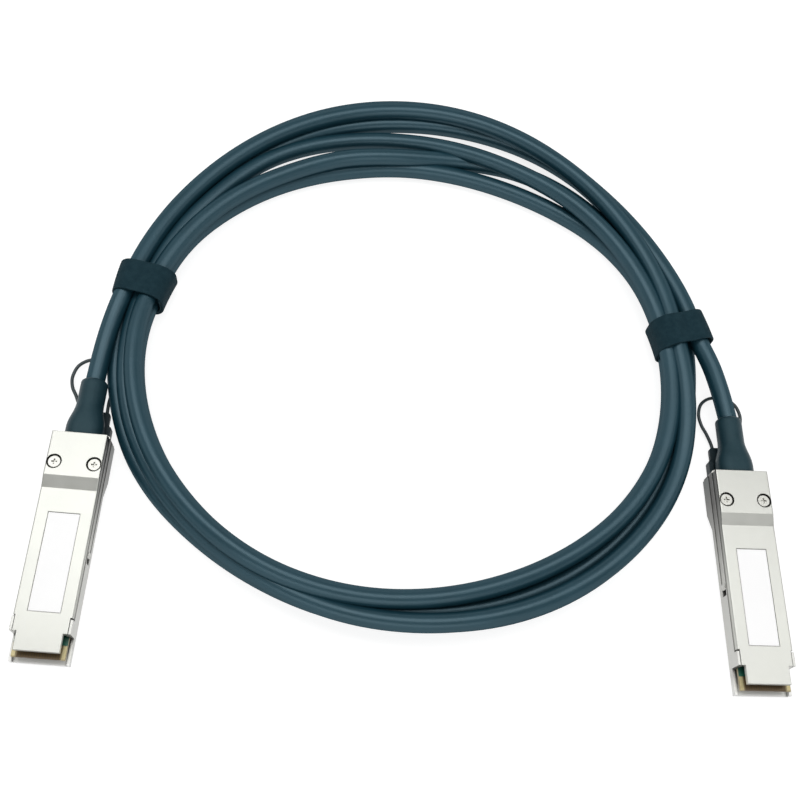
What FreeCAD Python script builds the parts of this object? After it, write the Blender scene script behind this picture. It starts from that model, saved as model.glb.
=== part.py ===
"""Passive direct attach copper cable with QSFP+ plugs, coiled flat in two straps.

Frame: +Z up, the floor at Z 0, the plugs' noses toward -Y. The origin lies on the
floor, in the middle of the two plugs. Millimetres throughout.
"""
import FreeCAD, Part
import math
import os
from FreeCAD import Placement, Rotation, Vector

# ---------------------------------------------------------------- driving sizes
# plug shell, measured in the plug's own frame: nose to -Y, rear face at Y 0
BODY_WIDTH = 18.35          # the width that fits the cage
FRONT_HEIGHT = 8.5          # height of the part that slides into the cage
REAR_DROP = 3.0             # how far the rear block hangs below the front
REAR_RISE = 1.0             # how far the rear block stands above the front
TOP_BLOCK = 15.1            # length of the raised block on the cover
TOP_RAMP = 4.1
UNDER_BLOCK = 12.5          # length of the deep block on the bottom shell
UNDER_RAMP = 6.0
BODY_LENGTH = 64.9          # rear face to the end of the full-width cover
TONGUE_LENGTH = 5.7
TONGUE_WIDTH = 13.8
TONGUE_THICKNESS = 1.6
NOSE_LENGTH = 8.1           # how far the bottom shell reaches past the full-width cover
COVER_THICKNESS = 2.2
COVER_INSET = 0.2           # each side of the cover lies this far inside the shell's side
EDGE_ROUND = 0.5
EAR_WIDTH = 0.8             # ears of the shell that locate the front of the cover
EAR_LENGTH = 4.4
EAR_GAP = 0.15
EAR_END_GAP = 0.5
EAR_DROP = 0.1              # the ears stop this far below the cover's face
UNDER_FLOOR = 1.2           # floor of the bottom shell
CAVITY_WIDTH = 14.8
COVER_POCKET = 0.7          # the cover is hollowed this deep over the card

# nose frame round the card
NOSE_FLOOR = 1.0
NOSE_RIM = 2.6

# label
LABEL_START = 27.1          # rear face to the recess
LABEL_RECESS_LENGTH = 31.7
LABEL_RECESS_WIDTH = 10.1
LABEL_RECESS_DEPTH = 0.3
LABEL_THICKNESS = 0.15
LABEL_GAP = 0.2

# cover screws
SCREW_SPACING = 12.7
SCREW_INSET = 10.5          # rear face to the screws
SCREW_SINK = 4.9            # counterbore diameter
SCREW_SINK_DEPTH = 1.7
SCREW_HEAD_GAP = 0.2
SCREW_HEAD_HEIGHT = 1.3
SCREW_SHANK = 2.0
SCREW_LENGTH = 7.0          # under the head
SCREW_HOLE_GAP = 0.15       # round the shank, in the cover
SCREW_HEAD_CHAMFER = 0.35
SCREW_SLOT_WIDTH = 0.55
SCREW_SLOT_LENGTH = 1.9
SCREW_SLOT_DEPTH = 0.7

# card
CARD_THICKNESS = 1.0
CARD_TOP = 4.64             # above the front's underside
CARD_NOSE_WIDTH = 16.24
CARD_NOSE_GAP = 0.15
CARD_WIDTH = 14.2           # inside the shell
CARD_REAR = 40.0            # rear face to the card's rear edge
CARD_SETBACK = 1.0          # the shell's front lip to the card's front edge
CARD_BEVEL = 0.3
LEDGE_WIDTH = 1.0
LEDGE_STARTS = (42.0, 56.0)
LEDGE_LENGTH = 6.0
PAD_PITCH = 0.8
PADS_PER_FACE = 19
PAD_WIDTH = 0.58
PAD_LENGTH = 3.9
PAD_THICKNESS = 0.04
PAD_INSET = 0.3             # card's front edge to the pads
PAD_SIDE_MARGIN = 0.1       # card's side edge to the widened pads at the row's ends
CHIP_SIZE = (3.0, 4.4, 1.0)
CHIP_CENTRE = 48.0          # rear face to the chip
CAPACITOR_SIZE = (0.5, 1.0, 0.5)
CAPACITOR_PITCH = 1.6
CAPACITORS = 8
CAPACITOR_ROW = 54.0        # rear face to the row

# cable end inside the plug
CABLE_DIAMETER = 6.4
CABLE_AXIS = 6.8            # height of the cable over the floor at the boot
REAR_WALL = 2.0
CABLE_ROOM_WIDTH = 10.0     # room for the ferrule, between the screws
CABLE_ROOM_LENGTH = 11.2
FAN_ROOM_WIDTH = 11.2       # room where the pairs spread, between the springs
FAN_ROOM_LENGTH = 26.0
FERRULE_DIAMETER = 8.4
FERRULE_LENGTH = 7.0
PAIR_DIAMETER = 1.1
PAIR_SIDES = 6
PAIR_PITCH_AT_CABLE = 1.4
PAIR_PITCH_AT_CARD = 3.2
PAIRS_PER_FACE = 4
PAIR_RISE_AT_CABLE = 0.9
PAIR_SOLDER_LENGTH = 2.0

# strain relief boot, loose from the latch parts that slide under it
BOOT_BASE_WIDTH = 12.4
BOOT_BASE_HEIGHT = 9.4
BOOT_BASE_CORNER = 4.2
BOOT_BASE_LENGTH = 3.5
BOOT_NECK = 8.9
BOOT_NECK_START = 12.5
BOOT_TAPER_STEPS = 6
BOOT_CORNER_STEPS = 5
BOOT_LENGTH = 21.0
BOOT_END_ROUND = 0.9
BOOT_ROOT_WIDTH = 8.8       # the part that fills the hole in the rear wall
BOOT_FLANGE_WIDTH = 9.8     # the part that holds behind the rear wall
BOOT_FLANGE_LENGTH = 1.6
BOOT_SEAT_GAP = 0.1

# latch: a steel slider, its yoke, the pull wire and the springs
SLIDER_THICKNESS = 0.8
SLIDER_SUNK = 0.15          # how far an arm's face lies below the shell's side
SLIDER_GAP = 0.15
CHANNEL_DEPTH = 1.1
CHANNEL_BOTTOM = 2.6        # above the front's underside
CHANNEL_HEIGHT = 3.2
CHANNEL_SPARE = 2.0         # the channel runs on past the end of the arm
ARM_LENGTH = 40.0
ARM_FLARE = 0.5             # outward ramp at the end of an arm
ARM_FLARE_LENGTH = 2.4
SLIDER_BEND = 1.2           # outer radius where an arm meets the cross plate
SLIDER_REAR_GAP = 0.5       # rear face to the slider's cross plate
SLIDER_FLOOR_GAP = 0.6
SLIDER_BOOT_GAP = 0.7
YOKE_FLOOR_GAP = 0.3
YOKE_BOOT_GAP = 0.35
YOKE_WIDTH = 14.8
YOKE_WIDE_LENGTH = 5.2
YOKE_NARROW_WIDTH = 12.0
YOKE_LENGTH = 11.2
YOKE_ROUND = 1.2
YOKE_CHEEK_WIDTH = 1.6
YOKE_CHEEK_TOP = 3.6
WIRE_DIAMETER = 1.2
WIRE_HEIGHT = 1.05          # axis over the floor inside the yoke
WIRE_LOOP_HEIGHT = 1.9      # axis over the floor round the cable
WIRE_EXIT_SPACING = 9.4
WIRE_STRAIGHT = 4.4         # from the yoke to where the wire starts to spread
WIRE_LOOP_WIDTH = 15.0
WIRE_LOOP_END = 31.9        # rear face to the far end of the loop
WIRE_LOOP_LENGTH = 10.0     # from the loop's widest place to its far end
WIRE_LOOP_CORNER = 4.6      # from the loop's corners to its far end
WIRE_UNEVEN = 0.2           # the hand-bent loop is this much out of true
WIRE_SIDES = 8
WIRE_BEND_STEPS = 4
SPRING_DIAMETER = 1.9
SPRING_WIRE = 0.35          # square wire
SPRING_TURNS = 5
SPRING_STEPS_PER_TURN = 10
SPRING_POCKET_START = 15.5
SPRING_LENGTH = 7.8
SPRING_POCKET_WALL = 0.6    # between the pocket and the room for the pairs
TAB_THICKNESS = 0.6

# where the plugs lie: rear face centre, turn about the vertical, and how far
# the pull wire's loop leans to one side
PLUGS = {
    "a": {"place": (-113.15, 5.53), "turn": 6.13, "loop_lean": -1.6},
    "b": {"place": (104.66, 35.89), "turn": 9.17, "loop_lean": -0.8},
}

# the coil is a ring round this point; each section is
# (angle, inner radius, outer radius, underside, height)
COIL_CENTRE = (-13.25, 67.63)
STRAP_THICKNESS = 1.6
STRAP_HEIGHT = 12.8         # the bundle inside a strap
LEFT_STRAP = {"angle": 181.0, "inner": 87.3, "outer": 106.2}
RIGHT_STRAP = {"angle": 9.0, "inner": 85.3, "outer": 107.7}
STRAP_SPAN = 7.4            # degrees of the ring under a strap
BUNDLE_SPAN = 12.0          # degrees of constant section at a strap
SECTION_BEVEL = 2.0         # corner bevel of the bundle
SECTION_STEP = 10.0         # degrees between the ring's sections
TOP_SECTIONS = (
    (30.0, 83.0, 107.5, 0.4, 9.6),
    (55.0, 75.5, 107.5, 0.0, 6.8),
    (90.0, 69.6, 108.6, 0.0, 6.8),
    (130.0, 73.0, 107.5, 0.0, 6.8),
    (157.0, 81.5, 106.6, 0.4, 9.6),
)
BOTTOM_SECTIONS = (
    (200.0, 91.5, 101.6, 0.4, 14.0),
    (213.0, 93.0, 105.0, 0.0, 16.5),
    (235.0, 94.0, 106.0, 0.0, 17.6),
    (270.0, 91.6, 106.0, 0.0, 17.6),
    (305.0, 91.0, 108.4, 0.0, 14.6),
    (340.0, 91.0, 106.4, 0.2, 13.0),
    (353.0, 88.0, 104.2, 0.8, 12.8),
)

# the cable between the boots and the coil, by its axis
LEAD_A = ((-115.39, 26.41, 6.8), (-116.0, 36.6, 7.6), (-115.9, 46.8, 9.0), (-115.0, 56.9, 10.6))
LEAD_B = ((101.31, 56.62, 6.8), (99.2, 63.2, 7.4), (96.5, 69.7, 8.4), (93.4, 76.0, 9.6))

# ------------------------------------------------------------------ derived sizes
HALF_BODY = BODY_WIDTH / 2
HALF_COVER = HALF_BODY - COVER_INSET
SHELL_LENGTH = BODY_LENGTH + NOSE_LENGTH
CARD_FRONT = SHELL_LENGTH - CARD_SETBACK
CHANNEL_LENGTH = ARM_LENGTH + CHANNEL_SPARE
FRONT_UNDERSIDE = REAR_DROP
FRONT_TOP = FRONT_UNDERSIDE + FRONT_HEIGHT
REAR_TOP = FRONT_TOP + REAR_RISE
SEAM = FRONT_TOP - COVER_THICKNESS
CARD_UPPER = FRONT_UNDERSIDE + CARD_TOP
CARD_LOWER = CARD_UPPER - CARD_THICKNESS
CHANNEL_LOW = FRONT_UNDERSIDE + CHANNEL_BOTTOM
CHANNEL_HIGH = CHANNEL_LOW + CHANNEL_HEIGHT
CHANNEL_FACE = HALF_BODY - CHANNEL_DEPTH
ARM_OUTER = HALF_BODY - SLIDER_SUNK
ARM_INNER = ARM_OUTER - SLIDER_THICKNESS
PLATE_REAR = SLIDER_REAR_GAP + SLIDER_THICKNESS
BOOT_UNDERSIDE = CABLE_AXIS - BOOT_BASE_HEIGHT / 2
POCKET_INNER = FAN_ROOM_WIDTH / 2 + SPRING_POCKET_WALL
REACH = 2.0                 # how far a cutting tool runs past what it cuts


# ------------------------------------------------------------------------ helpers
def box(x0, x1, y0, y1, z0, z1):
    """Box between two corners."""
    return Part.makeBox(x1 - x0, y1 - y0, z1 - z0, Vector(x0, y0, z0))


def wide_box(width, y0, y1, z0, z1):
    """Box centred on the plug's middle plane."""
    return box(-width / 2, width / 2, y0, y1, z0, z1)


def cylinder(diameter, height, x, y, z):
    """Upright cylinder standing at a point."""
    return Part.makeCylinder(diameter / 2, height, Vector(x, y, z))


def lying_cylinder(diameter, y0, y1, z):
    """Cylinder along Y about the plug's middle plane."""
    return Part.makeCylinder(diameter / 2, y1 - y0, Vector(0, y0, z), Vector(0, 1, 0))


def side_profile(points, width):
    """Solid of a closed (y, z) outline, as wide as given, about the middle plane."""
    corners = [Vector(-width / 2, y, z) for y, z in points]
    face = Part.Face(Part.makePolygon(corners + corners[:1]))
    return face.extrude(Vector(width, 0, 0))


def plan_profile(points, z0, z1):
    """Upright solid of a closed (x, y) outline."""
    corners = [Vector(x, y, z0) for x, y in points]
    face = Part.Face(Part.makePolygon(corners + corners[:1]))
    return face.extrude(Vector(0, 0, z1 - z0))


def oval(y, z, width, height, corner, steps):
    """Closed outline across the plug: a rectangle with round corners in a few steps each."""
    points = []
    for quarter, (side, up) in enumerate(((1, 1), (-1, 1), (-1, -1), (1, -1))):
        for step in range(steps + 1):
            turn = math.pi / 2 * (quarter + step / steps)
            points.append(Vector(side * (width / 2 - corner) + corner * math.cos(turn), y,
                                 z + up * (height / 2 - corner) + corner * math.sin(turn)))
    return Part.makePolygon(points + points[:1])


def bevelled_outline(centre, across, up, width, height, bevel):
    """Rectangle with bevelled corners in the plane of two unit vectors."""
    half_a = width / 2
    half_b = height / 2
    corners = []
    for sign_a, sign_b in ((1, 1), (-1, 1), (-1, -1), (1, -1)):
        pair = [(sign_a * half_a, sign_b * (half_b - bevel)),
                (sign_a * (half_a - bevel), sign_b * half_b)]
        corners += pair if sign_a * sign_b > 0 else pair[::-1]
    points = [centre + across * a + up * b for a, b in corners]
    return Part.makePolygon(points + points[:1])


def bends(points):
    """The widest tangent arc at each inner point: radius, hub, axis, turn and both ends."""
    path = [Vector(*point) for point in points]
    found = []
    for before, corner, after in zip(path, path[1:], path[2:]):
        inward = (corner - before).normalize()
        outward = (after - corner).normalize()
        half_turn = inward.getAngle(outward) / 2
        reach = 0.45 * min((corner - before).Length, (after - corner).Length)
        radius = reach / math.tan(half_turn)
        found.append({
            "radius": radius,
            "hub": corner + (outward - inward).normalize() * radius / math.cos(half_turn),
            "axis": inward.cross(outward).normalize(),
            "turn": math.degrees(2 * half_turn),
            "first": corner - inward * reach,
            "last": corner + outward * reach,
        })
    return found


def tube(name, points, diameter):
    """Round solid along straight runs joined by the widest tangent arcs that fit."""
    start = Vector(*points[0])
    length = 0
    stretches = []
    arcs = bends(points)
    for arc in arcs:
        run = arc["first"] - start
        stretches.append(Part.makeCylinder(diameter / 2, run.Length, start, run))
        section = Part.Face(Part.Wire(Part.makeCircle(diameter / 2, arc["first"], run)))
        stretches.append(section.revolve(arc["hub"], arc["axis"], arc["turn"]))
        length += run.Length + arc["radius"] * math.radians(arc["turn"])
        start = arc["last"]
    run = Vector(*points[-1]) - start
    stretches.append(Part.makeCylinder(diameter / 2, run.Length, start, run))
    length += run.Length
    solid = stretches[0].fuse(stretches[1:])
    radii = ", ".join(f"{arc['radius']:.1f}" for arc in arcs)
    print(f"{name}: length {length:.1f}, bend radii {radii}, "
          f"volume over section {solid.Volume / (math.pi * diameter ** 2 / 4):.1f}")
    return solid


def faceted_rod(points, diameter, sides, steps):
    """Rod of many-sided section along the points, each bend in a few steps."""
    path = [Vector(*points[0])]
    for arc in bends(points):
        for step in range(steps + 1):
            turn = Rotation(arc["axis"], arc["turn"] * step / steps)
            path.append(arc["hub"] + turn.multVec(arc["first"] - arc["hub"]))
    path.append(Vector(*points[-1]))
    sections = []
    for index, point in enumerate(path):
        before = path[max(index - 1, 0)]
        after = path[min(index + 1, len(path) - 1)]
        along = (after - before).normalize()
        across = along.cross(Vector(0, 0, 1)).normalize()
        up = across.cross(along)
        corners = []
        for side in range(sides):
            turn = 2 * math.pi * (side + 0.5) / sides
            corners.append(point + (across * math.cos(turn) + up * math.sin(turn)) * diameter / 2)
        sections.append(Part.makePolygon(corners + corners[:1]))
    return Part.makeLoft(sections, True, True)


def mirrored(shape):
    """The same piece on the other side of the plug."""
    return shape.mirror(Vector(0, 0, 0), Vector(1, 0, 0))


def both_sides(shape):
    """A piece and its mirror image, as two separate solids."""
    return [shape, mirrored(shape)]


def cut_all(shape, tools):
    """One solid with every tool cut from it."""
    return shape.cut(Part.makeCompound(tools)) if tools else shape


def side_edges(shape, half_width, keep):
    """Lengthwise edges on a piece's two side faces whose middle passes a test."""
    chosen = []
    for edge in shape.Edges:
        ends = [vertex.Point for vertex in edge.Vertexes]
        on_side = all(abs(abs(point.x) - half_width) < 1e-6 for point in ends)
        if on_side and ends[0].x == ends[1].x and keep(edge):
            chosen.append(edge)
    return chosen


# --------------------------------------------------------------------- plug pieces
def screw_places():
    """Plan positions of the two cover screws."""
    return [(side * SCREW_SPACING / 2, -SCREW_INSET) for side in (-1, 1)]


def top_cover():
    """Die-cast cover: raised rear block, ramp, flat front and narrow tongue."""
    tongue_end = -(BODY_LENGTH + TONGUE_LENGTH)
    outline = (
        (0, SEAM), (0, REAR_TOP), (-TOP_BLOCK, REAR_TOP),
        (-TOP_BLOCK - TOP_RAMP, FRONT_TOP), (tongue_end, FRONT_TOP),
        (tongue_end, FRONT_TOP - TONGUE_THICKNESS),
        (-BODY_LENGTH, FRONT_TOP - TONGUE_THICKNESS), (-BODY_LENGTH, SEAM),
    )
    cover = side_profile(outline, 2 * HALF_COVER)
    top = side_edges(cover, HALF_COVER, lambda edge: edge.CenterOfMass.z > FRONT_TOP - 0.01
                     and edge.BoundBox.YLength > 1.0)
    cover = cover.makeFillet(EDGE_ROUND, top)
    notch = EAR_WIDTH + EAR_GAP
    tools = []
    for side in (-1, 1):
        shoulder = sorted((side * TONGUE_WIDTH / 2, side * (HALF_BODY + REACH)))
        tools.append(box(*shoulder, tongue_end - REACH, -BODY_LENGTH, SEAM - REACH, REAR_TOP))
        step = sorted((side * (HALF_BODY - notch), side * (HALF_BODY + REACH)))
        tools.append(box(*step, -BODY_LENGTH - REACH, -BODY_LENGTH + EAR_LENGTH + EAR_END_GAP,
                         SEAM - REACH, REAR_TOP))
    tools.append(wide_box(LABEL_RECESS_WIDTH, -LABEL_START - LABEL_RECESS_LENGTH, -LABEL_START,
                          FRONT_TOP - LABEL_RECESS_DEPTH, FRONT_TOP + REACH))
    tools.append(wide_box(CAVITY_WIDTH, -BODY_LENGTH + EAR_LENGTH, -FAN_ROOM_LENGTH,
                          SEAM - REACH, SEAM + COVER_POCKET))
    for x, y in screw_places():
        tools.append(cylinder(SCREW_SINK, SCREW_SINK_DEPTH + REACH, x, y,
                              REAR_TOP - SCREW_SINK_DEPTH))
        tools.append(cylinder(SCREW_SHANK + 2 * SCREW_HOLE_GAP, REAR_TOP, x, y, SEAM - REACH))
    tools.append(lying_cylinder(FERRULE_DIAMETER + 2 * BOOT_SEAT_GAP,
                                -CABLE_ROOM_LENGTH, -REAR_WALL, CABLE_AXIS))
    return cut_all(cover, tools)


def bottom_shell():
    """Die-cast tray: deep rear block, card room, side channels and open nose."""
    outline = (
        (0, 0), (-UNDER_BLOCK, 0), (-UNDER_BLOCK - UNDER_RAMP, FRONT_UNDERSIDE),
        (-SHELL_LENGTH, FRONT_UNDERSIDE), (-SHELL_LENGTH, FRONT_UNDERSIDE + NOSE_RIM),
        (-BODY_LENGTH, FRONT_UNDERSIDE + NOSE_RIM), (-BODY_LENGTH, SEAM), (0, SEAM),
    )
    shell = side_profile(outline, BODY_WIDTH)
    under = side_edges(shell, HALF_BODY, lambda edge: edge.CenterOfMass.z < FRONT_UNDERSIDE + 0.01
                       and edge.BoundBox.YLength > 1.0)
    shell = shell.makeFillet(EDGE_ROUND, under)
    above = SEAM + REACH
    floor = FRONT_UNDERSIDE + UNDER_FLOOR
    nose_room = CARD_NOSE_WIDTH + 2 * CARD_NOSE_GAP
    tools = [
        wide_box(nose_room, -SHELL_LENGTH - REACH, -BODY_LENGTH,
                 FRONT_UNDERSIDE + NOSE_FLOOR, above),
        wide_box(CAVITY_WIDTH, -BODY_LENGTH - REACH, -FAN_ROOM_LENGTH, floor, above),
        wide_box(FAN_ROOM_WIDTH, -FAN_ROOM_LENGTH - REACH, -CABLE_ROOM_LENGTH + REACH, floor, above),
        wide_box(CABLE_ROOM_WIDTH, -CABLE_ROOM_LENGTH, -REAR_WALL, UNDER_FLOOR, above),
        wide_box(BOOT_ROOT_WIDTH + 2 * BOOT_SEAT_GAP, -REAR_WALL - REACH, REACH,
                 BOOT_UNDERSIDE + BOOT_SEAT_GAP, above),
    ]
    for x, y in screw_places():
        tools.append(cylinder(SCREW_SHANK, above, x, y, screw_tip()))
    channel = box(CHANNEL_FACE, HALF_BODY + REACH, -CHANNEL_LENGTH, REACH,
                  CHANNEL_LOW, CHANNEL_HIGH)
    pocket = box(POCKET_INNER, HALF_BODY + REACH,
                 -SPRING_POCKET_START - SPRING_LENGTH - TAB_THICKNESS - SLIDER_GAP,
                 -SPRING_POCKET_START, CHANNEL_LOW, CHANNEL_HIGH)
    tools += both_sides(channel) + both_sides(pocket)
    shell = cut_all(shell, tools)
    ledges = []
    for start in LEDGE_STARTS:
        ledge = box(CAVITY_WIDTH / 2 - LEDGE_WIDTH, CAVITY_WIDTH / 2 + 0.3,
                    -start - LEDGE_LENGTH, -start, floor - 0.3, CARD_LOWER)
        ledges += both_sides(ledge)
    ear = box(HALF_BODY - EAR_WIDTH, HALF_BODY, -BODY_LENGTH, -BODY_LENGTH + EAR_LENGTH,
              SEAM - EAR_GAP, FRONT_TOP - EAR_DROP)
    return shell.fuse(ledges + both_sides(ear)).removeSplitter()


def screw_tip():
    """Height of the screws' ends."""
    return REAR_TOP - SCREW_SINK_DEPTH - SCREW_LENGTH


def cover_screws():
    """Two pan-head screws with a cross recess, seated in the counterbores."""
    seat = REAR_TOP - SCREW_SINK_DEPTH
    head_top = seat + SCREW_HEAD_HEIGHT
    screws = []
    for x, y in screw_places():
        head = cylinder(SCREW_SINK - 2 * SCREW_HEAD_GAP, SCREW_HEAD_HEIGHT, x, y, seat)
        rim = [edge for edge in head.Edges if abs(edge.CenterOfMass.z - head_top) < 1e-6]
        head = head.makeChamfer(SCREW_HEAD_CHAMFER, rim)
        shank = cylinder(SCREW_SHANK, SCREW_LENGTH, x, y, screw_tip())
        arm = SCREW_SLOT_LENGTH / 2
        slot = SCREW_SLOT_WIDTH / 2
        low = head_top - SCREW_SLOT_DEPTH
        cross = [
            box(x - arm, x + arm, y - slot, y + slot, low, head_top + REACH),
            box(x - slot, x + slot, y - arm, y + arm, low, head_top + REACH),
        ]
        screws.append(cut_all(head.fuse(shank).removeSplitter(), cross))
    return Part.makeCompound(screws)


def label():
    """Blank label in the cover's recess."""
    low = FRONT_TOP - LABEL_RECESS_DEPTH
    return wide_box(LABEL_RECESS_WIDTH - 2 * LABEL_GAP,
                    -LABEL_START - LABEL_RECESS_LENGTH + LABEL_GAP, -LABEL_START - LABEL_GAP,
                    low, low + LABEL_THICKNESS)


def paddle_card():
    """Circuit board: narrow in the shell, wide and bevelled at the nose."""
    nose_start = -BODY_LENGTH - CARD_NOSE_GAP
    inner = wide_box(CARD_WIDTH, nose_start - REACH, -CARD_REAR, CARD_LOWER, CARD_UPPER)
    outline = (
        (nose_start, CARD_LOWER), (nose_start, CARD_UPPER),
        (-CARD_FRONT + CARD_BEVEL, CARD_UPPER), (-CARD_FRONT, CARD_UPPER - CARD_BEVEL),
        (-CARD_FRONT, CARD_LOWER + CARD_BEVEL), (-CARD_FRONT + CARD_BEVEL, CARD_LOWER),
    )
    return side_profile(outline, CARD_NOSE_WIDTH).fuse(inner).removeSplitter()


def contact_pads():
    """Gold fingers in a row on both faces of the card, the end ones wide."""
    front = -CARD_FRONT + PAD_INSET
    first = -PAD_PITCH * (PADS_PER_FACE - 1) / 2
    side = CARD_NOSE_WIDTH / 2 - PAD_SIDE_MARGIN
    pads = []
    for index in range(PADS_PER_FACE):
        x = first + index * PAD_PITCH
        left = -side if index == 0 else x - PAD_WIDTH / 2
        right = side if index == PADS_PER_FACE - 1 else x + PAD_WIDTH / 2
        for z in (CARD_UPPER, CARD_LOWER - PAD_THICKNESS):
            pads.append(box(left, right, front, front + PAD_LENGTH, z, z + PAD_THICKNESS))
    return Part.makeCompound(pads)


def memory_chip():
    """Identification memory on top of the card."""
    width, length, height = CHIP_SIZE
    return wide_box(width, -CHIP_CENTRE - length / 2, -CHIP_CENTRE + length / 2,
                    CARD_UPPER, CARD_UPPER + height)


def card_capacitors():
    """Row of signal capacitors behind the contacts."""
    width, length, height = CAPACITOR_SIZE
    first = -CAPACITOR_PITCH * (CAPACITORS - 1) / 2
    row = []
    for index in range(CAPACITORS):
        x = first + index * CAPACITOR_PITCH
        row.append(box(x - width / 2, x + width / 2, -CAPACITOR_ROW - length, -CAPACITOR_ROW,
                       CARD_UPPER, CARD_UPPER + height))
    return Part.makeCompound(row)


def crimp_ferrule():
    """Ring that grips the braid, just inside the boot's flange."""
    rear = -REAR_WALL - BOOT_SEAT_GAP - BOOT_FLANGE_LENGTH
    outer = lying_cylinder(FERRULE_DIAMETER, rear - FERRULE_LENGTH, rear, CABLE_AXIS)
    return outer.cut(lying_cylinder(CABLE_DIAMETER, rear - FERRULE_LENGTH - REACH,
                                    rear + REACH, CABLE_AXIS))


def twinax_pairs():
    """Wire pairs that spread from the cable to both faces of the card."""
    start = -REAR_WALL - BOOT_SEAT_GAP - BOOT_FLANGE_LENGTH
    spread = -CABLE_ROOM_LENGTH
    landing = -CARD_REAR + PAIR_SOLDER_LENGTH * 2
    end = -CARD_REAR - PAIR_SOLDER_LENGTH
    pairs = []
    for index in range(PAIRS_PER_FACE):
        place = index - (PAIRS_PER_FACE - 1) / 2
        near = place * PAIR_PITCH_AT_CABLE
        far = place * PAIR_PITCH_AT_CARD
        for face in (1, -1):
            leaving = CABLE_AXIS + face * PAIR_RISE_AT_CABLE
            card_face = CARD_UPPER if face > 0 else CARD_LOWER
            height = card_face + face * PAIR_DIAMETER / 2
            route = ((near, start, leaving), (near, spread, leaving),
                     (far, landing, height), (far, end, height))
            pairs.append(faceted_rod(route, PAIR_DIAMETER, PAIR_SIDES, 1))
    return Part.makeCompound(pairs)


def strain_relief():
    """Moulded boot: oval base on the plug, eased taper, round neck with a soft end."""
    def section(y, share, shrink=0.0):
        width, height, corner = [start + (end - start) * share for start, end in
                                 ((BOOT_BASE_WIDTH, BOOT_NECK), (BOOT_BASE_HEIGHT, BOOT_NECK),
                                  (BOOT_BASE_CORNER, BOOT_NECK / 2 - BOOT_SEAT_GAP))]
        return oval(y, CABLE_AXIS, width - 2 * shrink, height - 2 * shrink, corner - shrink,
                    BOOT_CORNER_STEPS)

    sections = [section(0, 0)]
    for step in range(BOOT_TAPER_STEPS + 1):
        share = step / BOOT_TAPER_STEPS
        y = BOOT_BASE_LENGTH + (BOOT_NECK_START - BOOT_BASE_LENGTH) * share
        sections.append(section(y, (1 - math.cos(math.pi * share)) / 2))
    for degrees in (0, 30, 60, 90):
        turn = math.radians(degrees)
        sections.append(section(BOOT_LENGTH - BOOT_END_ROUND * (1 - math.sin(turn)), 1,
                                BOOT_END_ROUND * (1 - math.cos(turn))))
    return Part.makeLoft(sections, True, True).fuse(boot_root()).removeSplitter()


def boot_root():
    """The boot's anchor: a neck through the rear wall and a flange behind it."""
    gap = BOOT_SEAT_GAP
    neck = wide_box(BOOT_ROOT_WIDTH, -REAR_WALL - gap, 0, BOOT_UNDERSIDE + 2 * gap, SEAM - gap)
    flange = wide_box(BOOT_FLANGE_WIDTH, -REAR_WALL - gap - BOOT_FLANGE_LENGTH,
                      -REAR_WALL - gap, UNDER_FLOOR + gap, SEAM - gap)
    return neck.fuse(flange)


def latch_slider():
    """Bent steel slider: two arms in the side channels and a plate behind the shell."""
    low = CHANNEL_LOW + SLIDER_GAP
    high = CHANNEL_HIGH - SLIDER_GAP
    ramp_start = -ARM_LENGTH + ARM_FLARE_LENGTH
    arm = plan_profile((
        (ARM_INNER, PLATE_REAR), (ARM_OUTER, PLATE_REAR), (ARM_OUTER, ramp_start),
        (ARM_OUTER + ARM_FLARE, -ARM_LENGTH + ARM_FLARE_LENGTH / 3),
        (ARM_OUTER, -ARM_LENGTH), (ARM_INNER, -ARM_LENGTH),
    ), low, high)
    tab_face = -SPRING_POCKET_START - SPRING_LENGTH
    tab = box(POCKET_INNER + SLIDER_GAP, ARM_INNER + 0.1, tab_face - TAB_THICKNESS, tab_face,
              low, high)
    plate = wide_box(2 * ARM_OUTER, SLIDER_REAR_GAP, PLATE_REAR, SLIDER_FLOOR_GAP, high)
    window = wide_box(BOOT_BASE_WIDTH + 2 * SLIDER_BOOT_GAP, -REACH, PLATE_REAR + REACH,
                      yoke_top(), high + REACH)
    pieces = both_sides(arm) + both_sides(tab)
    slider = plate.cut(window).fuse(pieces).removeSplitter()
    corners = [edge for edge in slider.Edges if edge.BoundBox.ZLength > SLIDER_THICKNESS
               and abs(edge.CenterOfMass.y - PLATE_REAR) < 1e-6
               and abs(abs(edge.CenterOfMass.x) - ARM_OUTER) < 1e-6]
    return slider.makeFillet(SLIDER_BEND, corners)


def yoke_top():
    """Height of the part of the latch that passes under the boot."""
    return BOOT_UNDERSIDE - YOKE_BOOT_GAP


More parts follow.
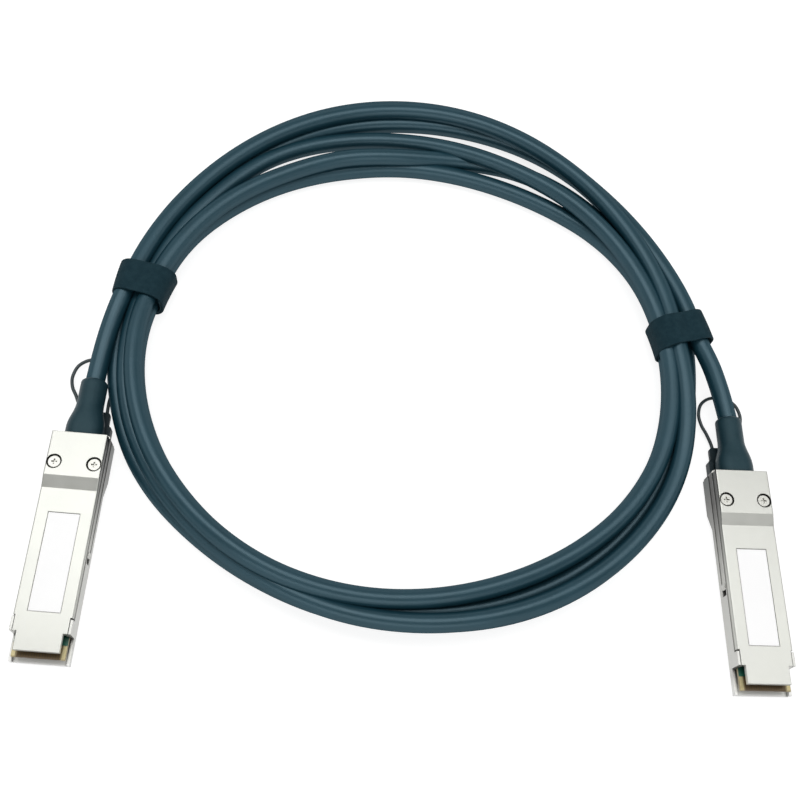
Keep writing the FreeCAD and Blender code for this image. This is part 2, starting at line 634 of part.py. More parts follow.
def pull_yoke(wire):
    """Plastic yoke on the slider's plate, with a cheek on each side of the boot."""
    half_width = YOKE_WIDTH / 2
    wide_end = PLATE_REAR + YOKE_WIDE_LENGTH
    outline = [
        (half_width, PLATE_REAR), (half_width, wide_end),
        (YOKE_NARROW_WIDTH / 2, wide_end + half_width - YOKE_NARROW_WIDTH / 2),
        (YOKE_NARROW_WIDTH / 2, PLATE_REAR + YOKE_LENGTH),
    ]
    outline += [(-x, y) for x, y in reversed(outline)]
    body = plan_profile(outline, YOKE_FLOOR_GAP, YOKE_CHEEK_TOP)
    upright = [edge for edge in body.Edges if edge.BoundBox.ZLength > YOKE_FLOOR_GAP
               and edge.CenterOfMass.y > PLATE_REAR + YOKE_ROUND]
    body = body.makeFillet(YOKE_ROUND, upright)
    between = wide_box(YOKE_WIDTH - 2 * YOKE_CHEEK_WIDTH, 0, wide_end + REACH,
                       yoke_top(), YOKE_CHEEK_TOP + REACH)
    behind = wide_box(YOKE_WIDTH + REACH, wide_end, PLATE_REAR + YOKE_LENGTH + REACH,
                      yoke_top(), YOKE_CHEEK_TOP + REACH)
    return cut_all(body, [between, behind, wire])


def pull_wire(lean):
    """Stiff wire bail from the yoke round the back of the cable."""
    exit_half = WIRE_EXIT_SPACING / 2
    loop_half = WIRE_LOOP_WIDTH / 2
    start = PLATE_REAR + YOKE_LENGTH / 2
    leave = PLATE_REAR + YOKE_LENGTH + WIRE_STRAIGHT
    widest = WIRE_LOOP_END - WIRE_LOOP_LENGTH
    corner = WIRE_LOOP_END - WIRE_LOOP_CORNER
    high = WIRE_LOOP_HEIGHT
    right = [
        (exit_half, start, WIRE_HEIGHT), (exit_half, leave, WIRE_HEIGHT),
        (loop_half + lean, widest, high - WIRE_UNEVEN),
        (loop_half + lean - WIRE_UNEVEN, corner, high),
        (loop_half / 2 + lean, WIRE_LOOP_END, high),
    ]
    left = [
        (-loop_half / 2 + lean, WIRE_LOOP_END + WIRE_UNEVEN, high),
        (-loop_half + lean + WIRE_UNEVEN, corner, high),
        (-loop_half + lean, widest, high - WIRE_UNEVEN), (-exit_half, leave, WIRE_HEIGHT),
        (-exit_half, start, WIRE_HEIGHT),
    ]
    return faceted_rod(right + left, WIRE_DIAMETER, WIRE_SIDES, WIRE_BEND_STEPS)


def return_springs():
    """A spring in each side pocket, between the shell and the slider's tab."""
    x = (POCKET_INNER + ARM_INNER) / 2
    z = (CHANNEL_LOW + CHANNEL_HIGH) / 2
    advance = SPRING_LENGTH - SPRING_WIRE
    steps = SPRING_TURNS * SPRING_STEPS_PER_TURN
    sections = []
    for step in range(steps + 1):
        turn = 2 * math.pi * step / SPRING_STEPS_PER_TURN
        y = -SPRING_POCKET_START - SPRING_WIRE / 2 - advance * step / steps
        corners = []
        for outward, along in ((-1, -1), (1, -1), (1, 1), (-1, 1)):
            reach = SPRING_DIAMETER / 2 - SPRING_WIRE / 2 + outward * SPRING_WIRE / 2
            corners.append(Vector(x + reach * math.cos(turn), y + along * SPRING_WIRE / 2,
                                  z + reach * math.sin(turn)))
        sections.append(Part.makePolygon(corners + corners[:1]))
    coil = Part.makeLoft(sections, True, True)
    return Part.makeCompound([coil, mirrored(coil)])


def plug_pieces(loop_lean):
    """Every piece of one plug, in the plug's own frame."""
    wire = pull_wire(loop_lean)
    return {
        "top_cover": top_cover(),
        "bottom_shell": bottom_shell(),
        "cover_screws": cover_screws(),
        "label": label(),
        "paddle_card": paddle_card(),
        "contact_pads": contact_pads(),
        "memory_chip": memory_chip(),
        "card_capacitors": card_capacitors(),
        "crimp_ferrule": crimp_ferrule(),
        "twinax_pairs": twinax_pairs(),
        "strain_relief": strain_relief(),
        "latch_slider": latch_slider(),
        "pull_yoke": pull_yoke(wire),
        "pull_wire": wire,
        "return_springs": return_springs(),
    }


# ---------------------------------------------------------------------- the cable
def coil_outline(angle, inner, outer, underside, height, bevel):
    """Section of the ring in the upright plane at an angle round the coil."""
    turn = math.radians(angle)
    across = Vector(math.cos(turn), math.sin(turn), 0)
    middle = Vector(*COIL_CENTRE, underside + height / 2) + across * ((inner + outer) / 2)
    return bevelled_outline(middle, across, Vector(0, 0, 1), outer - inner, height, bevel)


def bundle_arc(strap, span, thickness):
    """Ring sector at a strap, its section grown by the given thickness."""
    outline = coil_outline(strap["angle"] - span / 2, strap["inner"] - thickness,
                           strap["outer"] + thickness, STRAP_THICKNESS - thickness,
                           STRAP_HEIGHT + 2 * thickness,
                           SECTION_BEVEL + thickness * (2 - math.sqrt(2)))
    face = Part.Face(outline)
    return face.revolve(Vector(*COIL_CENTRE, 0), Vector(0, 0, 1), span)


def strap_end(strap, side):
    """Section of the bundle where a strap's sector ends."""
    return (strap["angle"] + side * BUNDLE_SPAN / 2, strap["inner"], strap["outer"],
            STRAP_THICKNESS, STRAP_HEIGHT)


def blended(sections):
    """The sections with evenly eased ones between them, a few degrees apart."""
    eased = [sections[0]]
    for before, after in zip(sections, sections[1:]):
        steps = max(1, round((after[0] - before[0]) / SECTION_STEP))
        for step in range(1, steps + 1):
            share = step / steps
            ease = (1 - math.cos(math.pi * share)) / 2
            angle = before[0] + (after[0] - before[0]) * share
            sizes = [low + (high - low) * ease for low, high in zip(before[1:], after[1:])]
            eased.append((angle, *sizes))
    return eased


def coil_stretch(sections):
    """Ring stretch through sections of the bundle."""
    wires = [coil_outline(*section, SECTION_BEVEL) for section in blended(sections)]
    return Part.makeLoft(wires, True, True)


def cable_coil():
    """The coiled turns as one closed ring: tight in the straps, fanned at the top."""
    top = [strap_end(RIGHT_STRAP, 1), *TOP_SECTIONS, strap_end(LEFT_STRAP, -1)]
    right = (RIGHT_STRAP["angle"] + 360 - BUNDLE_SPAN / 2, *strap_end(RIGHT_STRAP, -1)[1:])
    bottom = [strap_end(LEFT_STRAP, 1), *BOTTOM_SECTIONS, right]
    ring = coil_stretch(top).fuse([
        coil_stretch(bottom),
        bundle_arc(LEFT_STRAP, BUNDLE_SPAN, 0),
        bundle_arc(RIGHT_STRAP, BUNDLE_SPAN, 0),
    ])
    return ring


def strap(which):
    """Hook-and-loop band wrapped tight round the bundle."""
    return bundle_arc(which, STRAP_SPAN, STRAP_THICKNESS).cut(bundle_arc(which, BUNDLE_SPAN, 0))


# ------------------------------------------------------------------------- output
def main():
    """Build every piece, put it in its place and write one file per node."""
    nodes = {}
    for suffix, plug in PLUGS.items():
        spot = Placement(Vector(*plug["place"], 0), Rotation(Vector(0, 0, 1), plug["turn"]))
        for name, shape in plug_pieces(plug["loop_lean"]).items():
            placed = shape.copy()
            placed.Placement = spot.multiply(shape.Placement)
            nodes[f"{name}_{suffix}"] = placed
    nodes["cable_coil"] = cable_coil()
    nodes["cable_lead_a"] = tube("cable_lead_a", LEAD_A, CABLE_DIAMETER)
    nodes["cable_lead_b"] = tube("cable_lead_b", LEAD_B, CABLE_DIAMETER)
    nodes["strap_left"] = strap(LEFT_STRAP)
    nodes["strap_right"] = strap(RIGHT_STRAP)

    os.makedirs("parts", exist_ok=True)
    for name, shape in nodes.items():
        bounds = shape.BoundBox
        print(f"{name}: {len(shape.Solids)} solids, {shape.Volume:.2f} mm3, valid {shape.isValid()}, "
              f"x {bounds.XMin:.1f} {bounds.XMax:.1f}, y {bounds.YMin:.1f} {bounds.YMax:.1f}, "
              f"z {bounds.ZMin:.2f} {bounds.ZMax:.2f}")
        shape.exportStep(f"parts/{name}.step")


main()
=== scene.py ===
"""Direct attach copper cable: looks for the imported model, in metres."""

import math

import bmesh
import bpy
from mathutils import Matrix, Vector


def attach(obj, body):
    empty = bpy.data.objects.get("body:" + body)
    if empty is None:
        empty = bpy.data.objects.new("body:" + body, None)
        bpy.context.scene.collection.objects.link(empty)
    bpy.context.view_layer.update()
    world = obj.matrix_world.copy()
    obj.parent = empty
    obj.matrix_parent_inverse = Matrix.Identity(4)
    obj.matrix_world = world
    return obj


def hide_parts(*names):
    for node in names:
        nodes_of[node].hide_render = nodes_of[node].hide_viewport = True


MM = 0.001

# ------------------------------------------------------------ shared with part.py
# the plugs: rear face centre in mm, turn in degrees, and lean of the loop in mm
PLUGS = {
    "a": {"place": (-113.15, 5.53), "turn": 6.13, "loop_lean": -1.6},
    "b": {"place": (104.66, 35.89), "turn": 9.17, "loop_lean": -0.8},
}
COIL_CENTRE = (-13.25, 67.63)
CABLE_DIAMETER = 6.4
LEAD_A = ((-115.39, 26.41, 6.8), (-116.0, 36.6, 7.6), (-115.9, 46.8, 9.0), (-115.0, 56.9, 10.6))
LEAD_B = ((101.31, 56.62, 6.8), (99.2, 63.2, 7.4), (96.5, 69.7, 8.4), (93.4, 76.0, 9.6))
STRAP_THICKNESS = 1.6
STRAP_HEIGHT = 12.8
WIRE_DIAMETER = 1.2
SHELL_LENGTH = 73.0
CARD_FRONT = 72.0
CARD_BARE = 4.4             # length of the unmasked strip at the front
PADS_SHADOWED = 6.7             # half width of the painted shadow on the pads, under the cover's overhang
SHADOW_EDGE = 0.3             # half width of the change from painted shadow to the own colour
SIDE_SHADE_START = 40.0          # from the rear, where painted shade starts to darken upright faces
SIDE_SHADE_FULL = 10.0           # from the rear, where that painted shade is darkest
SIDE_SHADE_DARKEST = 0.14
LIP_DULL = 2.0              # from the nose, where the plate looks like paint
LIP_METAL = 8.0             # from the nose, where it looks like metal
# painted light on the nose's lip, and painted shade on the rear block
SHELL_LIP_LIGHT = (0.95, 0.95, 0.93)
SHELL_REAR_SHADE = (0.075, 0.087, 0.083)
# share of the shell's length from the nose, and how bright the plate is painted there, as
# painted light and shade
SHELL_SHADES = ((0.03, 0.95), (0.08, 0.55), (0.55, 0.46), (0.88, 0.13))
# half of the bail in a plug's own frame, in mm: side, along, height, share of the lean
WIRE_HALF = ((4.7, 6.9, 1.05, 0), (4.6, 12.5, 1.05, 0), (5.6, 17.4, 1.4, 0.6),
             (7.1, 21.4, 1.8, 1), (7.4, 26.0, 1.9, 1), (5.2, 30.2, 1.9, 1), (0, 31.9, 1.9, 1))

# ---------------------------------------------------------------- the wound tapes
# where each lies on the ring, in degrees, the ring radii between which it wraps
# the bundle, how much the inner and the outer radius grow per mm of its width,
# its width, its lean in degrees per mm outwards, and how far round the bundle its
# end lies, in mm from the foot of the inner side
TAPES = {
    "left": {"angle": 181.2, "inner": 88.2, "outer": 105.0, "inner_rise": 0.18,
             "outer_rise": 0.0, "width": 12.2, "lean": -0.04, "end": 14.0},
    "right": {"angle": 11.1, "inner": 88.5, "outer": 106.6, "inner_rise": -0.22,
              "outer_rise": -0.22, "width": 11.6, "lean": 0.15, "end": 7.0},
}
TAPE_THICKNESS = 0.8        # of one layer and the air under it
TAPE_SOLID = 0.9            # share of a layer that is tape
TAPE_OFF_BUNDLE = 0.05      # share of a layer between the bundle and the tape
TAPE_EDGE = 0.25            # bevel along its edges
TAPE_CORNER = 4.8
TAPE_LAP = 26.0             # wound twice
TAPE_CLIMB = 4.0            # over which it rises on to its first layer
TAPE_STEPS = 96
TAPE_ROWS = 8

# --------------------------------------------------------------------- the camera
CAMERA_PLACE = (-12.93, -116.37, 335.8)
CAMERA_ELEVATION = 64.44
CAMERA_ROLL = 10.606
LENS = 47.685

# ------------------------------------------------------------- the floor and lamps
# the sweep's profile in metres: radius and height, flat and then turned up
SWEEP = ((3.0, 0.0), (3.5, 0.05), (4.0, 0.24), (4.4, 0.6), (4.65, 1.2), (4.75, 2.6))
SWEEP_SIDES = 64
SWEEP_DROP = 0.2            # mm below the part, so that they don't share a plane
SWEEP_GREY = 0.35           # the part of its white that takes shadows
SWEEP_GLOW = 0.82           # the rest of it, to the camera and in reflections
SWEEP_FILL = 0.25           # and as light on what stands on it
WORLD_LIGHT = 0.26
# name, place and aim in metres, size in metres and power in watts
LAMPS = (
    ("overhead left", (-0.60, 0.31, 1.0), (-0.60, 0.31, 0), (0.8, 0.5), 3.6),
    ("overhead centre", (0.0, 0.22, 1.0), (0.0, 0.22, 0), (0.36, 0.6), 2.0),
    ("overhead right", (0.60, 0.31, 1.0), (0.60, 0.31, 0), (0.8, 0.5), 2.6),
    ("front fill", (0.0, -0.85, 0.75), (0.0, 0.0, 0.0), (1.2, 0.5), 3.5),
)

# ---------------------------------------------------------------- the cable's lay
# each pass over the top, from the left strap to the right one, as
# (angle, radius, height of the axis); the leads join the first and the last
TOP_PASSES = {
    "B": ((181, 100.2, 11.2), (168, 98.2, 10.8), (152, 97.0, 9.8), (135, 97.6, 8.8),
          (118, 98.5, 7.9), (102, 98.9, 7.5), (86, 98.2, 7.9), (70, 96.2, 8.7),
          (56, 94.6, 9.4), (42, 93.2, 10.2), (28, 93.2, 10.8), (9, 94.2, 11.8)),
    "D": ((181, 95.0, 8.4), (168, 93.0, 7.8), (152, 90.9, 7.2), (135, 91.5, 5.4),
          (118, 89.3, 4.0), (102, 86.5, 4.2), (86, 83.1, 7.2), (70, 82.4, 8.4),
          (56, 83.8, 9.2), (42, 85.4, 9.8), (28, 87.2, 10.4), (9, 91.0, 10.2)),
    "E": ((181, 92.4, 10.4), (168, 88.8, 10.6), (152, 84.6, 9.8), (135, 80.2, 8.8),
          (118, 77.7, 8.8), (102, 75.9, 8.0), (86, 80.6, 3.8), (70, 86.2, 3.2),
          (56, 89.2, 3.2), (42, 91.4, 3.2), (28, 93.4, 3.8), (9, 95.6, 4.8)),
    "C": ((181, 96.4, 4.8), (168, 96.0, 3.8), (152, 95.8, 3.2), (135, 95.8, 3.2),
          (118, 96.2, 3.2), (102, 95.9, 3.2), (86, 96.6, 3.2), (70, 97.8, 3.2),
          (56, 98.3, 3.2), (42, 97.5, 3.2), (28, 98.5, 3.8), (9, 99.8, 4.8)),
    "F": ((181, 92.2, 4.8), (168, 90.4, 3.8), (152, 85.2, 3.2), (135, 79.8, 3.2),
          (118, 75.7, 3.2), (102, 74.2, 3.2), (86, 74.1, 3.2), (70, 76.0, 3.2),
          (56, 79.8, 3.2), (42, 85.3, 3.2), (28, 89.5, 3.8), (9, 92.4, 4.8)),
    "A": ((181, 101.6, 4.8), (168, 101.4, 3.8), (152, 101.1, 3.2), (135, 101.9, 3.2),
          (118, 103.3, 3.2), (102, 103.7, 3.2), (86, 103.1, 3.2), (70, 101.2, 3.2),
          (56, 98.2, 4.6), (42, 96.8, 7.6), (28, 98.0, 9.6), (9, 102.8, 10.8)),
}
# each pass round the bottom, from the right strap to the left one
BOTTOM_PASSES = {
    "outer_upper": ((9, 94.2, 11.8), (-6, 99.0, 11.2), (-20, 103.6, 9.8), (-35, 105.4, 9.6),
                    (-50, 105.7, 9.6), (-65, 104.9, 9.6), (-80, 104.0, 9.6), (-95, 103.4, 9.6),
                    (-110, 102.3, 9.4), (-125, 101.8, 8.8), (-140, 101.6, 8.0),
                    (-155, 100.4, 7.8), (-168, 97.6, 8.2), (-179, 95.0, 8.4)),
    "inner_upper": ((9, 91.0, 10.2), (-6, 94.2, 10.0), (-20, 96.2, 9.6), (-35, 96.6, 9.6),
                    (-50, 95.8, 9.6), (-65, 95.6, 9.6), (-80, 96.6, 10.0), (-95, 98.4, 11.4),
                    (-110, 100.0, 13.4), (-125, 100.0, 13.8), (-140, 99.0, 12.8),
                    (-155, 97.2, 11.8), (-168, 95.2, 11.2), (-179, 92.4, 10.4)),
    "middle": ((9, 95.6, 4.8), (-6, 98.0, 4.4), (-20, 100.2, 3.6), (-35, 100.8, 3.4),
               (-50, 100.6, 3.4), (-65, 100.0, 3.8), (-80, 99.6, 5.6), (-95, 99.6, 7.4),
               (-110, 99.8, 8.2), (-125, 99.4, 8.0), (-140, 98.6, 7.6),
               (-155, 97.2, 6.6), (-168, 95.2, 5.4), (-179, 92.2, 4.8)),
    "outer_lower": ((9, 99.8, 4.8), (-6, 100.6, 3.8), (-20, 103.6, 3.2), (-35, 105.2, 3.2),
                    (-50, 105.2, 3.2), (-65, 104.0, 3.2), (-80, 102.2, 3.2), (-95, 101.8, 3.2),
                    (-110, 101.8, 3.2), (-125, 102.8, 3.2), (-140, 104.5, 3.2),
                    (-155, 103.6, 3.2), (-168, 102.6, 3.8), (-179, 101.6, 4.8)),
    "inner_lower": ((9, 92.4, 4.8), (-6, 95.2, 3.8), (-20, 96.9, 3.2), (-35, 96.6, 3.2),
                    (-50, 95.9, 3.2), (-65, 95.4, 3.2), (-80, 95.6, 3.2), (-95, 96.6, 3.2),
                    (-110, 97.8, 3.2), (-125, 98.2, 3.2), (-140, 98.4, 3.2),
                    (-155, 98.4, 3.2), (-168, 97.4, 3.8), (-179, 96.4, 4.8)),
}
LAY = ("B", "outer_upper", "D", "inner_upper", "E", "middle", "F", "inner_lower",
       "C", "outer_lower", "A")
LAY_STEP = 9.0              # degrees between the spline's points


# ------------------------------------------------------------------------ helpers
def metres(point):
    """A point in millimetres as a vector in metres."""
    return Vector(point) * MM


def plug_matrix(suffix):
    """From a plug's own frame, in metres, to the row frame."""
    plug = PLUGS[suffix]
    place = Matrix.Translation(metres((*plug["place"], 0)))
    return place @ Matrix.Rotation(math.radians(plug["turn"]), 4, "Z")


def coil_point(angle, radius, height):
    """Point of the ring, in metres."""
    turn = math.radians(angle)
    return metres((COIL_CENTRE[0] + radius * math.cos(turn),
                   COIL_CENTRE[1] + radius * math.sin(turn), height))


def smooth_between(stations, angle):
    """Radius and height at an angle, on a smooth line through the stations."""
    last = len(stations) - 1
    index = 0
    while index < last - 1 and angle < stations[index + 1][0]:
        index += 1
    before, after = stations[index], stations[index + 1]
    previous = stations[max(index - 1, 0)]
    following = stations[min(index + 2, last)]
    span = after[0] - before[0]
    share = (angle - before[0]) / span
    values = []
    for place in (1, 2):
        start_slope = (after[place] - previous[place]) / (after[0] - previous[0]) * span
        end_slope = (following[place] - before[place]) / (following[0] - before[0]) * span
        cube, square = share ** 3, share ** 2
        values.append((2 * cube - 3 * square + 1) * before[place]
                      + (cube - 2 * square + share) * start_slope
                      + (3 * square - 2 * cube) * after[place]
                      + (cube - square) * end_slope)
    return values


def new_object(name, mesh, *materials):
    """Object of a mesh or curve, linked to the scene."""
    piece = bpy.data.objects.new(name, mesh)
    bpy.context.scene.collection.objects.link(piece)
    for material in materials:
        mesh.materials.append(material)
    return piece


def mesh_object(name, verts, faces, *materials):
    """Object of points and faces."""
    mesh = bpy.data.meshes.new(name)
    mesh.from_pydata([tuple(v) for v in verts], [], faces)
    mesh.update()
    built = bmesh.new()
    built.from_mesh(mesh)
    bmesh.ops.recalc_face_normals(built, faces=built.faces)
    built.to_mesh(mesh)
    built.free()
    for face in mesh.polygons:
        face.use_smooth = True
    return new_object(name, mesh, *materials)


# ---------------------------------------------------------------------- materials
NOISE_SPAN = (0.3, 0.7)     # the values of a noise between which a number changes
TINT_SPAN = (0.35, 0.65)    # and those between which a colour does
CREVICE_SPAN = (0.35, 0.85)  # open sky over a point deep in a gap, and over one that is clear, for painted shade
LEVEL_FACE = 0.7            # upward or downward part of the normal of a level face
BOOT_ROUNDING = 0.0016      # metres over which the boot's flats run into one another
CAST_ROUNDING = 0.00022     # and over which the edges of a casting do
PLATE_METALLIC = 0.75
LIP_METALLIC = 0.1
PLATE_WARMTH = 0.95         # blue of the shell's plate, against its red and green


class Nodes:
    """One material, with ways to add and link its shader nodes."""

    def __init__(self, name):
        self.material = bpy.data.materials.new(name)
        self.material.use_nodes = True
        self.tree = self.material.node_tree
        self.shader = self.tree.nodes["Principled BSDF"]
        self.place = self.tree.nodes.new("ShaderNodeTexCoord").outputs["Object"]

    def add(self, kind, inputs=None, **settings):
        """Adds a node; an input is a value or another node's output."""
        node = self.tree.nodes.new(kind)
        for key, value in settings.items():
            setattr(node, key, value)
        for key, value in (inputs or {}).items():
            if isinstance(value, bpy.types.NodeSocket):
                self.tree.links.new(value, node.inputs[key])
            else:
                node.inputs[key].default_value = value
        return node

    def noise(self, scale, detail=3.0, stretch=(1, 1, 1)):
        """Noise with its features so many to the metre."""
        mapped = self.add("ShaderNodeMapping", {"Vector": self.place, "Scale": stretch})
        noise = self.add("ShaderNodeTexNoise", {"Vector": mapped.outputs[0], "Scale": scale,
                                                "Detail": detail})
        return noise.outputs["Fac"]

    def between(self, factor, low, high):
        """A number that follows a factor from low to high."""
        node = self.add("ShaderNodeMapRange", {"Value": factor, "From Min": NOISE_SPAN[0],
                                               "From Max": NOISE_SPAN[1], "To Min": low,
                                               "To Max": high})
        return node.outputs[0]

    def mixed(self, factor, first, second):
        """A colour between two colours."""
        ramp = self.add("ShaderNodeValToRGB", {"Fac": factor})
        for stop, place, colour in zip(ramp.color_ramp.elements, TINT_SPAN, (first, second)):
            stop.position = place
            stop.color = (*colour, 1)
        return ramp.outputs[0]

    def bump(self, height, distance, under=None):
        """Surface relief so many metres deep, over another relief if there is one."""
        inputs = {"Height": height, "Distance": distance}
        if under is not None:
            inputs["Normal"] = under
        return self.add("ShaderNodeBump", inputs).outputs[0]

    def scaled(self, colour, share):
        """A colour made darker by a share."""
        return self.add("ShaderNodeVectorMath", {0: colour, "Scale": share},
                        operation="SCALE").outputs[0]

    def calculate(self, operation, first, second=0.0):
        """The result of one operation on one or two numbers."""
        return self.add("ShaderNodeMath", {0: first, 1: second}, operation=operation).outputs[0]

    def gloss(self, colour, roughness, normal):
        """Even gloss, no stronger towards the edges."""
        return self.add("ShaderNodeBsdfGlossy", {"Color": (*colour, 1), "Roughness": roughness,
                                                 "Normal": normal}).outputs[0]

    def layer(self, *coats):
        """Adds gloss or glow over the main shader."""
        surface = self.shader.outputs[0]
        for coat in coats:
            surface = self.add("ShaderNodeAddShader", {0: surface, 1: coat}).outputs[0]
        self.tree.links.new(surface, self.tree.nodes["Material Output"].inputs["Surface"])

    def painted_gap_shade(self, colour, distance, darkest):
        """Painted shade: a colour that darkens in gaps and under overhangs."""
        open_sky = self.add("ShaderNodeAmbientOcclusion", {"Distance": distance}, samples=8)
        share = self.add("ShaderNodeMapRange", {"Value": open_sky.outputs["AO"],
                                                "From Min": CREVICE_SPAN[0],
                                                "From Max": CREVICE_SPAN[1],
                                                "To Min": darkest, "To Max": 1.0})
        return self.scaled(colour, share.outputs[0])

    def in_plug(self, suffix, direction):
        """Place in a plug's frame, in metres: 0 across it, 1 along it from its rear face."""
        turned = plug_matrix(suffix)
        axis = turned.col[direction].to_3d()
        reach = self.add("ShaderNodeVectorMath", {0: self.place, 1: axis},
                         operation="DOT_PRODUCT").outputs["Value"]
        return self.calculate("SUBTRACT", reach, turned.translation.dot(axis))

    def flatness(self):
        """1 on faces that look up or down, 0 on upright ones."""
        geometry = self.add("ShaderNodeNewGeometry")
        facing = self.add("ShaderNodeSeparateXYZ", {"Vector": geometry.outputs["Normal"]})
        level = self.calculate("ABSOLUTE", facing.outputs["Z"])
        return self.calculate("GREATER_THAN", level, LEVEL_FACE)

    def painted_side_shade(self, suffix, colour):
        """Painted shade: a colour that darkens on a plug's upright faces towards its rear."""
        shade = self.add("ShaderNodeMapRange", {"Value": self.in_plug(suffix, 1),
                                                "From Min": -SIDE_SHADE_START * MM,
                                                "From Max": -SIDE_SHADE_FULL * MM,
                                                "To Min": 1.0, "To Max": SIDE_SHADE_DARKEST})
        return self.scaled(colour, self.calculate("MAXIMUM", shade.outputs[0], self.flatness()))

    def set(self, **inputs):
        """Puts values or links on the shader's own sockets."""
        for key, value in inputs.items():
            socket = self.shader.inputs[key.replace("_", " ")]
            if isinstance(value, bpy.types.NodeSocket):
                self.tree.links.new(value, socket)
            else:
                socket.default_value = value


def plain_finish(name, dark, light, roughness, metallic=0.0, mottle=300, grain=4000,
                 relief=0.00002, spread=0.05, **extra):
    """Mottled colour, uneven gloss and fine surface grain."""
    nodes = Nodes(name)
    cloud = nodes.noise(mottle)
    fine = nodes.noise(grain, 2.0)
    nodes.set(Base_Color=nodes.mixed(cloud, dark, light),
              Roughness=nodes.between(cloud, roughness - spread, roughness + spread),
              Metallic=metallic, Normal=nodes.bump(fine, relief), **extra)
    return nodes.material


def jacket_finish():
    """Extruded cable jacket: dark slate, with a broad satin sheen and a fine highlight."""
    nodes = Nodes("jacket")
    cloud = nodes.noise(90, 4.0)
    grain = nodes.bump(nodes.noise(5200, 2.0), 0.000012)
    colour = nodes.mixed(cloud, (0.0055, 0.029, 0.042), (0.007, 0.034, 0.049))
    nodes.set(Base_Color=colour, Roughness=0.6, Normal=grain, Specular_IOR_Level=0.0)
    sheen = nodes.gloss((0.034, 0.050, 0.058), nodes.between(cloud, 0.38, 0.44), grain)
    highlight = nodes.gloss((0.007, 0.009, 0.010), 0.2, grain)
    nodes.layer(sheen, highlight)
    return nodes.material


def boot_finish():
    """Moulded boot over the exit: satin slate, its flats rounded into one another."""
    nodes = Nodes("moulded boot")
    cloud = nodes.noise(200, 3.0)
    fine = nodes.noise(4000, 2.0)
    rounded = nodes.add("ShaderNodeBevel", {"Radius": BOOT_ROUNDING}, samples=8).outputs[0]
    nodes.set(Base_Color=nodes.mixed(cloud, (0.010, 0.033, 0.044), (0.014, 0.040, 0.052)),
              Roughness=nodes.between(cloud, 0.40, 0.48), Specular_IOR_Level=0.3,
              Specular_Tint=(0.7, 0.93, 1.0, 1),
              Normal=nodes.bump(fine, 0.00002, under=rounded))
    return nodes.material


def strap_finish():
    """Hook-and-loop tape: matt nap over a fine knit."""
    nodes = Nodes("strap tape")
    cloud = nodes.noise(500, 5.0)
    nap = nodes.noise(7000, 3.0)
    knit = nodes.noise(2600, 1.0, (1, 1, 3))
    relief = nodes.bump(nap, 0.00012, under=nodes.bump(knit, 0.00010))
    nodes.set(Base_Color=nodes.mixed(cloud, (0.0075, 0.028, 0.039), (0.012, 0.037, 0.049)),
              Roughness=0.85, Normal=relief, Specular_IOR_Level=0.15)
    return nodes.material


def overhang_shadow_colour(nodes, suffix, cloud, clean, worn):
    """Own colour at both sides of a plug, painted shadow (dark brown) between them, under the
    cover's overhang.
    """
    aside = nodes.calculate("ABSOLUTE", nodes.in_plug(suffix, 0))
    share = nodes.add("ShaderNodeMapRange", {"Value": aside,
                                             "From Min": (PADS_SHADOWED - SHADOW_EDGE) * MM,
                                             "From Max": (PADS_SHADOWED + SHADOW_EDGE) * MM})
    return nodes.add("ShaderNodeMix", {"Factor": share.outputs[0], "A": (*worn, 1),
                                       "B": nodes.mixed(cloud, *clean)},
                     data_type="RGBA").outputs["Result"]


def gold_finish(suffix):
    """Contact pads: dull gold, with painted shadow (dark brown) where the cover overhangs them
    and painted shade near the cover's edge.
    """
    nodes = Nodes(f"gold plate {suffix}")
    cloud = nodes.noise(700, 3.0)
    colour = overhang_shadow_colour(nodes, suffix, cloud, ((0.52, 0.44, 0.22), (0.62, 0.54, 0.30)),
                         (0.13, 0.085, 0.035))
    nodes.set(Base_Color=nodes.painted_gap_shade(colour, 0.003, 0.4), Metallic=0.4,
              Roughness=nodes.between(cloud, 0.36, 0.46),
              Normal=nodes.bump(nodes.noise(6000, 2.0), 0.00001))
    return nodes.material


def card_finish(suffix):
    """Circuit card: green mask on its faces, bare laminate at its edges and its front, with
    painted shadow (dark brown) in the middle where the cover overhangs it and painted shade in
    its gaps.
    """
    nodes = Nodes(f"circuit card {suffix}")
    cloud = nodes.noise(900, 3.0)
    weave = nodes.noise(5000, 2.0, (1, 1, 4))
    behind_pads = nodes.calculate("GREATER_THAN", nodes.in_plug(suffix, 1),
                                  (CARD_BARE - CARD_FRONT) * MM)
    colour = nodes.add("ShaderNodeMix", {
        "Factor": nodes.calculate("MULTIPLY", nodes.flatness(), behind_pads),
        "A": overhang_shadow_colour(nodes, suffix, weave, ((0.40, 0.33, 0.18), (0.48, 0.40, 0.23)),
                         (0.10, 0.065, 0.03)),
        "B": nodes.mixed(cloud, (0.004, 0.11, 0.07), (0.008, 0.15, 0.095))}, data_type="RGBA")
    shaded = nodes.painted_gap_shade(colour.outputs["Result"], 0.004, 0.25)
    nodes.set(Base_Color=shaded, Roughness=nodes.between(cloud, 0.28, 0.38),
              Normal=nodes.bump(weave, 0.000015))
    return nodes.material


def cast_finish(name):
    """Nickel plate over a zinc casting: pale, satin, softened edges, fine pits."""
    nodes = Nodes(name)
    cloud = nodes.noise(120, 4.0)
    pits = nodes.noise(6500, 2.0)
    soft_edge = nodes.add("ShaderNodeBevel", {"Radius": CAST_ROUNDING}, samples=6).outputs[0]
    nodes.set(Metallic=PLATE_METALLIC, Roughness=nodes.between(cloud, 0.31, 0.37),
              Normal=nodes.bump(pits, 0.000010, under=soft_edge))
    return nodes


